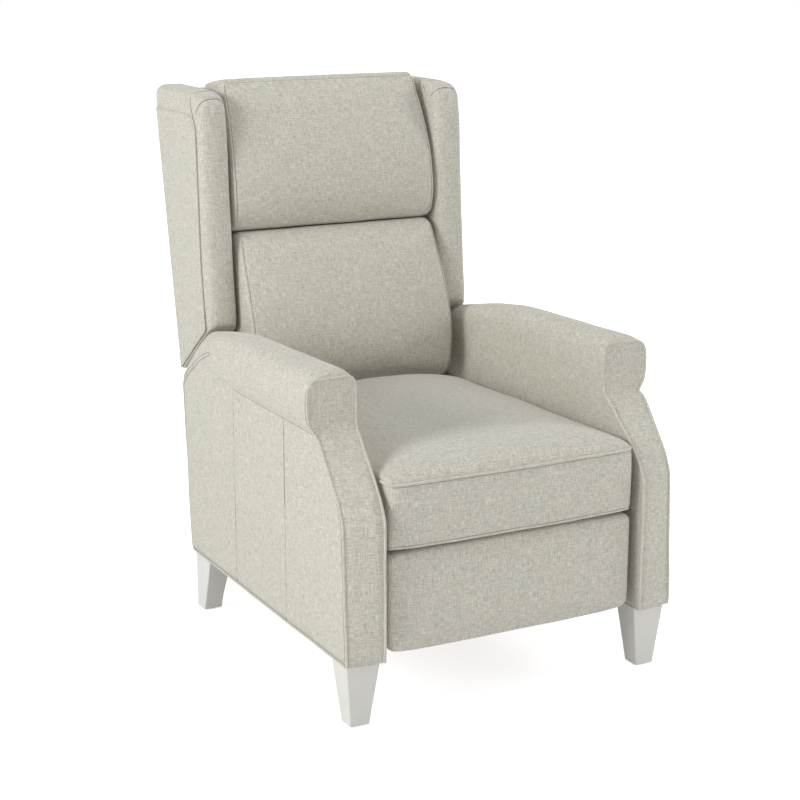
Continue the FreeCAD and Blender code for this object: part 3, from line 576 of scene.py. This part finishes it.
def topRoute(cushion, row):
    # over the cushion's top edge from side to side
    u, front, crown, half, rise = cushion["rows"][row]
    shares = (-0.96, -0.9, -0.7, -0.35, 0, 0.35, 0.7, 0.9, 0.96)
    return [backAt(share * half, front + 2 - crown * (1 - share ** 4), u + rise * (1 - share ** 2))
            for share in shares]


def cushionSeams(cushion):
    # name, route and radius of each sewn edge that shows on the cushion's front
    last, sideShare = len(cushion["rows"]) - 1, 0.985
    if cushion is head:
        top = edgeRoute(head, -sideShare, range(2, last - 2)) + topRoute(head, last - 2)
        return [("Edge", top + edgeRoute(head, sideShare, range(last - 3, 1, -1)), 0.002)]
    return [("Left", edgeRoute(cushion, -sideShare, range(2, last - 1)), 0.0014),
            ("Right", edgeRoute(cushion, sideShare, range(2, last - 1)), 0.0014)]


def makeBackCushion(cushion, seed):
    rows = cushion["rows"]
    piece = gridSlab(cushion["name"], len(cushionShares), len(rows), cushionPlace(cushion))
    subdivided(piece, 2)
    low, high = rows[0][0], rows[-1][0]

    def held(p):
        q = backLocal(p)
        if q.y > cushionRear - 30 or q.z < low + 3 or q.z > high - 3:
            return 1.0
        return 0.95 if abs(q.x) > rows[0][3] - 5 else 0.0

    inflated(piece, held, cushion["cap"], voxel=0.007)
    relaxed(piece, 2)
    subdivided(piece, 1)
    uneven(piece, 0.0016, 0.12, seed)
    finished(piece, backTurn)
    surface = [surfaceOf(piece)]
    dressed(piece, "back", "cover")
    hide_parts(cushion["node"])
    for label, route, radius in cushionSeams(cushion):
        line = welt(cushion["name"] + label, surface, route, radius, 0.0001)
        # painted shade: a dark cord just inside the welt, for the shade of the seam
        inward = [p - Vector((math.copysign(0.004, p.x), 0, 0)) for p in route]
        seamThread(cushion["name"] + label + "Thread", surface, inward, "back", 0.0005)
        dressed(line, "back", "welt")


# Wings: the padded board beside the head, its outer panel and the panel's welt
wing = {"inner": 238.0, "outer": 306.0, "rear": 198.0, "slope": 0.5, "tailSlope": 0.19,
        "panelThick": 0.0028, "panelInset": 0.008, "panelCrown": 0.0016, "weltRadius": 0.0026}
wingRows = [  # height at the front, depth of the roll's front, insets of the outer, inner and front edges
    (237, 9, 3, 2, 6), (246, 8, 0.5, 0, 1), (300, 5, 0, 0, 0), (374, -1, 0, 0, 0), (445, -9, 0, 0, 0),
    (520, -17, 0, 0, 0), (600, -28, 0, 0, 0), (655, -34, 0, 0, 0), (682, -35, 1, 0.5, 1),
    (697, -34, 5, 3, 7), (704, -32, 14, 7, 17), (706.5, -30, 28, 12, 30)]
wingAcross = (  # share of the roll's width from the inside, and how far its front lies back there
    (0, 30), (0.02, 17), (0.1, 7), (0.27, 1), (0.5, -0.5), (0.74, 0.5), (0.9, 6), (0.98, 15), (1, 27))


def wingPlace(side):
    def place(column, row, far):
        u, front, outset, inset, tuck = wingRows[row]
        share, back = wingAcross[column]
        x0, x1 = wing["inner"] + inset, wing["outer"] - outset
        w = wing["rear"] if far else front + back + tuck
        if row < 2:
            u -= (w - front) * wing["slope"]
        elif row > 6:
            u += (w + 30) * wing["tailSlope"] * min(1, (row - 6) / 2)
        elif far:
            u += (row - 1) * 6 - 40 * (5 - row) / 4 if row < 6 else 20
        return backAt(side * (x0 + share * (x1 - x0)), w, u)
    return place


def wingCrease(a, b):
    if a[2] and b[2]:
        return 0.8 if a[0] == b[0] and a[0] in (0, 8) else 0.5
    if a[1] == b[1] == 0:
        return 0.6
    return 0.0


wingPanelOutline = [  # depth and height
    (198, 149), (39, 228), (29, 374), (11, 500), (-5, 610), (-8, 640), (-5, 654), (4, 661), (24, 667),
    (198, 699)]
wingSeams = (  # seams over the top of the roll: side, depth and height
    ((306, -5, 655), (306, 3, 676), (301, 12, 697), (288, 20, 709), (266, 24, 712), (246, 20, 706),
     (239, 12, 696)),
    ((304, -17, 668), (299, -24, 684), (285, -29, 694), (264, -29, 697), (247, -23, 690), (240, -14, 680)))


def wingPanel(label, side):
    bm = bmesh.new()
    corners = [bm.verts.new(backAt(side * (wing["outer"] - 1), w, u)) for w, u in wingPanelOutline]
    face = bm.faces.new(corners)
    grown = bmesh.ops.extrude_face_region(bm, geom=[face])
    raised = [g for g in grown["geom"] if isinstance(g, bmesh.types.BMVert)]
    bmesh.ops.translate(bm, verts=raised, vec=(side * wing["panelThick"], 0, 0))
    outside = [g for g in grown["geom"] if isinstance(g, bmesh.types.BMFace)]
    bmesh.ops.recalc_face_normals(bm, faces=bm.faces[:])
    bmesh.ops.inset_region(bm, faces=outside, thickness=wing["panelInset"], depth=wing["panelCrown"])
    panel = newPiece(label + "WingPanel", bm)
    finished(panel, backTurn)
    panel.data.shade_flat()
    return panel


def makeWing(label, side):
    piece = gridSlab(label + "Wing", len(wingAcross), len(wingRows), wingPlace(side), wingCrease)
    subdivided(piece, 2)
    uneven(piece, 0.001, 0.08, 12 + side)
    finished(piece, backTurn)
    surface = [surfaceOf(piece)]
    panel = wingPanel(label, side)
    route = [backAt(side * (wing["outer"] + 0.8), w, u) for w, u in wingPanelOutline]
    edge = curvePiece(label + "WingWelt", evenly(route, 0.012), wing["weltRadius"])
    # painted shade: dark cords along the seams over the roll and on both sides of the panel's welt
    for i, seam in enumerate(wingSeams):
        line = [backAt(side * x, w, u) for x, w, u in seam]
        seamThread(label + "WingSeam" + str(i + 1), surface, line, "back", 0.001)
    seamThread(label + "WingPanelThread", [surfaceOf(panel)], moved(route[1:9], 0, 4.4, 0), "back", 0.0006)
    seamThread(label + "WingRollThread", surface, moved(route[1:8], 0, -4.4, 0), "back", 0.0006)
    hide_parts("wing_pad_" + label[0])
    if side < 0:
        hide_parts("wing_panels")
        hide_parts("wing_welts")
    dressed(piece, "back", "cover")
    dressed(panel, "back", "cover")
    dressed(edge, "back", "welt")


# Outside back and the strip over the top rail
backPanel = {"half": 299.0, "low": 37.0, "split": 146.0, "narrow": 261.0, "high": 720.0, "front": 199.0,
             "rear": 205.0, "edge": 2.0, "shares": (-1, -0.98, -0.5, 0, 0.5, 0.98, 1)}
topPad = {"half": 237.5, "low": 714.0, "edge": 731.0, "high": 735.0, "shares": (-1, -0.5, 0, 0.5, 1),
          "depths": (128, 150, 180, 199)}


def backPanelPlace(column, row, far):
    share = backPanel["shares"][column]
    heights = (backPanel["low"], backPanel["split"] - 2, backPanel["split"] + 2, 300, 500,
               backPanel["high"] - 8, backPanel["high"])
    half = backPanel["narrow"] if row < 2 else backPanel["half"]
    w = backPanel["rear"] if far else backPanel["front"]
    if far and (abs(share) == 1 or row in (0, 6)):
        w -= backPanel["edge"]
    return backAt(share * half, w, heights[row])


def topPadPlace(column, row, far):
    depths = topPad["depths"]
    u = topPad["low"]
    if far:
        u = topPad["edge"] if row in (0, len(depths) - 1) else topPad["high"]
    return backAt(topPad["shares"][column] * topPad["half"], depths[row], u)


def makeOutsideBack():
    piece = gridSlab("outsideBack", len(backPanel["shares"]), 7, backPanelPlace, lambda a, b: 0.9)
    subdivided(piece, 3)
    uneven(piece, 0.0012, 0.13, 21)
    finished(piece, backTurn)
    dressed(piece, "back", "cover")
    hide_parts("back_panel")


def makeTopPad():
    piece = gridSlab("topPad", len(topPad["shares"]), len(topPad["depths"]), topPadPlace, lambda a, b: 0.6)
    subdivided(piece, 3)
    finished(piece, backTurn)
    dressed(piece, "back", "cover")
    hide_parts("top_pad")


# Finishes
def nodesOf(material):
    material.use_nodes = True
    tree = material.node_tree
    return tree, tree.nodes, tree.nodes["Principled BSDF"]


cloth = {
    "threads": (  # thread counts a metre across and up, place in the noise, and weight
        (680, 80, 3.1, 1.35), (76, 660, 8.4, 1.3),  # the weave's own short threads both ways
        (800, 800, 2.3, 0.8),  # specks
        (420, 16, 1.7, 0.55), (15, 400, 5.2, 0.5),  # slubs
        (40, 40, 9.9, 0.08)),  # slow unevenness of the dye
    "spread": 0.60, "bumpDepth": 0.0010, "bump": 0.5, "roughness": 0.85, "gloss": 0.25, "sheen": 0.3,
    "sheenRoughness": 0.4,
    "cover": ((0.37, 0.352, 0.30), (0.76, 0.737, 0.65)), "welt": ((0.46, 0.44, 0.375), (0.70, 0.68, 0.60)),
    # painted shade: a much darker copy of the cloth for the cords laid in the seams
    "thread": ((0.17, 0.16, 0.13), (0.30, 0.285, 0.24))}


def clothMaterial(name, base, useUv=True):
    # plain-woven linen look: crisp short threads both ways, specks and a few longer slubs
    material = bpy.data.materials.new(name)
    tree, nodes, shader = nodesOf(material)
    link = tree.links.new
    coordinates = nodes.new("ShaderNodeTexCoord")
    source = coordinates.outputs["UV" if useUv else "Object"]

    def streaks(across, up, seed):
        mapping = nodes.new("ShaderNodeMapping")
        mapping.inputs["Scale"].default_value = (across, up, across)
        mapping.inputs["Location"].default_value = (seed, seed * 0.7, 0)
        link(source, mapping.inputs["Vector"])
        texture = nodes.new("ShaderNodeTexNoise")
        texture.inputs["Scale"].default_value = 1.0
        texture.inputs["Detail"].default_value = 1.0
        texture.inputs["Roughness"].default_value = 0.6
        link(mapping.outputs["Vector"], texture.inputs["Vector"])
        return texture.outputs["Fac"]

    total = None
    for across, up, seed, weight in cloth["threads"]:
        share = nodes.new("ShaderNodeMath")
        share.operation = "MULTIPLY_ADD"
        link(streaks(across, up, seed), share.inputs[0])
        share.inputs[1].default_value = weight
        if total is None:
            share.inputs[2].default_value = 0
        else:
            link(total, share.inputs[2])
        total = share.outputs[0]
    middle = sum(weight for _, _, _, weight in cloth["threads"]) / 2
    ramp = nodes.new("ShaderNodeMapRange")
    ramp.inputs["From Min"].default_value = middle - cloth["spread"]
    ramp.inputs["From Max"].default_value = middle + cloth["spread"]
    link(total, ramp.inputs["Value"])
    mix = nodes.new("ShaderNodeMix")
    mix.data_type = "RGBA"
    darker, lighter = base
    mix.inputs[6].default_value = (*darker, 1)
    mix.inputs[7].default_value = (*lighter, 1)
    link(ramp.outputs["Result"], mix.inputs[0])
    link(mix.outputs[2], shader.inputs["Base Color"])
    bump = nodes.new("ShaderNodeBump")
    bump.inputs["Strength"].default_value = cloth["bump"]
    bump.inputs["Distance"].default_value = cloth["bumpDepth"]
    link(total, bump.inputs["Height"])
    link(bump.outputs["Normal"], shader.inputs["Normal"])
    shader.inputs["Roughness"].default_value = cloth["roughness"]
    shader.inputs["Specular IOR Level"].default_value = cloth["gloss"]
    shader.inputs["Sheen Weight"].default_value = cloth["sheen"]
    shader.inputs["Sheen Roughness"].default_value = cloth["sheenRoughness"]
    return material


def noisyMaterial(name, dark, light, scale, roughness, metallic=0.0, stretch=(1, 1, 1), bumpDepth=0.0002):
    # a finish on object coordinates: two colours by stretched noise, and a fine bump
    material = bpy.data.materials.new(name)
    tree, nodes, shader = nodesOf(material)
    link = tree.links.new
    coordinates = nodes.new("ShaderNodeTexCoord")
    mapping = nodes.new("ShaderNodeMapping")
    mapping.inputs["Scale"].default_value = stretch
    texture = nodes.new("ShaderNodeTexNoise")
    texture.inputs["Scale"].default_value = scale
    texture.inputs["Detail"].default_value = 5
    mix = nodes.new("ShaderNodeMix")
    mix.data_type = "RGBA"
    mix.inputs[6].default_value = (*dark, 1)
    mix.inputs[7].default_value = (*light, 1)
    bump = nodes.new("ShaderNodeBump")
    bump.inputs["Distance"].default_value = bumpDepth
    bump.inputs["Strength"].default_value = 0.5
    link(coordinates.outputs["Object"], mapping.inputs["Vector"])
    link(mapping.outputs["Vector"], texture.inputs["Vector"])
    link(texture.outputs["Fac"], mix.inputs[0])
    link(mix.outputs[2], shader.inputs["Base Color"])
    link(texture.outputs["Fac"], bump.inputs["Height"])
    link(bump.outputs["Normal"], shader.inputs["Normal"])
    shader.inputs["Roughness"].default_value = roughness
    shader.inputs["Metallic"].default_value = metallic
    return material


finish = {}


def makeFinishes():
    finish["cover"] = clothMaterial("coverCloth", cloth["cover"])
    finish["welt"] = clothMaterial("weltCloth", cloth["welt"], useUv=False)
    # painted shade for the seam cords, in the darker cloth
    finish["thread"] = clothMaterial("seamThread", cloth["thread"], useUv=False)
    finish["paint"] = noisyMaterial("footPaint", (0.62, 0.615, 0.58), (0.66, 0.655, 0.62), 9, 0.38,
                                    stretch=(6, 6, 1), bumpDepth=0.0001)
    finish["wood"] = noisyMaterial("frameWood", (0.42, 0.28, 0.15), (0.62, 0.45, 0.27), 18, 0.7,
                                   stretch=(1, 1, 9))
    finish["steel"] = noisyMaterial("linkSteel", (0.30, 0.30, 0.31), (0.42, 0.42, 0.43), 40, 0.35, 1.0,
                                    stretch=(1, 4, 1), bumpDepth=0.00005)
    finish["zinc"] = noisyMaterial("fastenerSteel", (0.5, 0.5, 0.5), (0.62, 0.62, 0.6), 120, 0.28, 1.0,
                                   bumpDepth=0.00003)
    finish["spring"] = noisyMaterial("springSteel", (0.14, 0.14, 0.15), (0.24, 0.24, 0.25), 60, 0.4, 1.0,
                                     bumpDepth=0.00004)
    finish["nylon"] = noisyMaterial("slideNylon", (0.03, 0.03, 0.032), (0.05, 0.05, 0.052), 200, 0.45,
                                    bumpDepth=0.00004)
    finish["webbing"] = noisyMaterial("strapWebbing", (0.10, 0.10, 0.11), (0.24, 0.23, 0.22), 300, 0.85,
                                      stretch=(1, 6, 1))


slotFinish = {"cover_fabric": "cover", "welt_fabric": "welt", "foot_paint": "paint", "glide_plastic": "nylon",
              "frame_wood": "wood", "link_steel": "steel", "fastener_steel": "zinc", "spring_steel": "spring",
              "slide_nylon": "nylon", "strap_webbing": "webbing"}


def dressNodes():
    # each construction node gets the finish of its own record slot
    left = set(slotFinish)
    for node in frame["nodes"].values():
        for i, material in enumerate(node.data.materials):
            name = material.name.split(".")[0]
            if name in slotFinish:
                node.data.materials[i] = finish[slotFinish[name]]
                left.discard(name)
    print("slots not met on a node:", sorted(left))


# Studio
studio = {"world": 0.51, "paperGlow": 0.74, "paperStart": 1.0, "paperEnd": 2.6, "paperRadius": 14,
          "lamps": (  # name, place, height of what it points at, size, power
              ("keyLamp", (-4.1, -0.7, 2.2), 0.5, 1.7, 103.0),
              ("fillLamp", (0.7, -2.7, 0.45), 0.3, 1.6, 14.0),
              ("topLamp", (0.2, 0.2, 3.8), 0.5, 2.4, 19.0),
              ("rimLamp", (4.0, -0.7, 2.2), 0.6, 0.9, 40.0))}


def areaLight(name, place, aim, size, power):
    data = bpy.data.lights.new(name, "AREA")
    data.shape = "DISK"
    data.size = size
    data.energy = power
    lamp = bpy.data.objects.new(name, data)
    lamp.location = place
    lamp.rotation_euler = (Vector((0, 0, aim)) - Vector(place)).to_track_quat("-Z", "Y").to_euler()
    scene.collection.objects.link(lamp)


def shownWhite(tree):
    # 1 for camera, glossy and transmission rays, and 0 for the light that falls on the chair
    nodes, link = tree.nodes, tree.links.new
    path = nodes.new("ShaderNodeLightPath")
    first = nodes.new("ShaderNodeMath")
    first.operation = "MAXIMUM"
    link(path.outputs["Is Camera Ray"], first.inputs[0])
    link(path.outputs["Is Glossy Ray"], first.inputs[1])
    both = nodes.new("ShaderNodeMath")
    both.operation = "MAXIMUM"
    link(first.outputs[0], both.inputs[0])
    link(path.outputs["Is Transmission Ray"], both.inputs[1])
    return both.outputs[0]


def makeStudio():
    world = bpy.data.worlds.new("studio")
    scene.world = world
    world.use_nodes = True
    tree = world.node_tree
    background = tree.nodes["Background"]
    background.inputs["Color"].default_value = (1, 1, 1, 1)
    seen = shownWhite(tree)
    strength = tree.nodes.new("ShaderNodeMapRange")
    strength.inputs["To Min"].default_value = studio["world"]
    strength.inputs["To Max"].default_value = 1.0
    tree.links.new(seen, strength.inputs["Value"])
    tree.links.new(strength.outputs["Result"], background.inputs["Strength"])
    for lamp in studio["lamps"]:
        areaLight(*lamp)
    makeFloor()


def makeFloor():
    # white paper that fades to plain white away from the chair and keeps its soft shadow
    bm = bmesh.new()
    bmesh.ops.create_circle(bm, cap_ends=True, segments=96, radius=studio["paperRadius"])
    floor = newPiece("floor", bm)
    material = bpy.data.materials.new("floorWhite")
    tree, nodes, shader = nodesOf(material)
    link = tree.links.new
    shader.inputs["Base Color"].default_value = (0.85, 0.85, 0.85, 1)
    shader.inputs["Roughness"].default_value = 1.0
    shader.inputs["Specular IOR Level"].default_value = 0.0
    seen = shownWhite(tree)
    glow = nodes.new("ShaderNodeEmission")
    glow.inputs["Color"].default_value = (1, 1, 1, 1)
    coordinates = nodes.new("ShaderNodeTexCoord")
    reach = nodes.new("ShaderNodeVectorMath")
    reach.operation = "LENGTH"
    link(coordinates.outputs["Object"], reach.inputs[0])
    fade = nodes.new("ShaderNodeMapRange")
    fade.interpolation_type = "SMOOTHSTEP"
    fade.inputs["From Min"].default_value = studio["paperStart"]
    fade.inputs["From Max"].default_value = studio["paperEnd"]
    link(reach.outputs["Value"], fade.inputs["Value"])
    strength = nodes.new("ShaderNodeMapRange")
    strength.inputs["To Min"].default_value = studio["paperGlow"]
    strength.inputs["To Max"].default_value = 1.0
    link(fade.outputs["Result"], strength.inputs["Value"])
    shown = nodes.new("ShaderNodeMath")
    shown.operation = "MULTIPLY"
    link(strength.outputs["Result"], shown.inputs[0])
    link(seen, shown.inputs[1])
    link(shown.outputs[0], glow.inputs["Strength"])
    both = nodes.new("ShaderNodeAddShader")
    link(shader.outputs["BSDF"], both.inputs[0])
    link(glow.outputs["Emission"], both.inputs[1])
    link(both.outputs["Shader"], nodes["Material Output"].inputs["Surface"])
    floor.data.materials.append(material)


makeCamera()
makeFinishes()
print("camera and finishes made")
for sideLabel, sideSign in (("left", -1), ("right", 1)):
    makeArm(sideLabel, sideSign)
    makeWing(sideLabel, sideSign)
print("arms and wings made")
makeSeat()
makeFootrest()
makeBackCushion(lumbar, 31)
makeBackCushion(head, 37)
print("cushions made")
makeOutsideBack()
makeTopPad()
dressNodes()
makeStudio()
print("finishes laid and studio lit")
scene.view_settings.view_transform = "Standard"
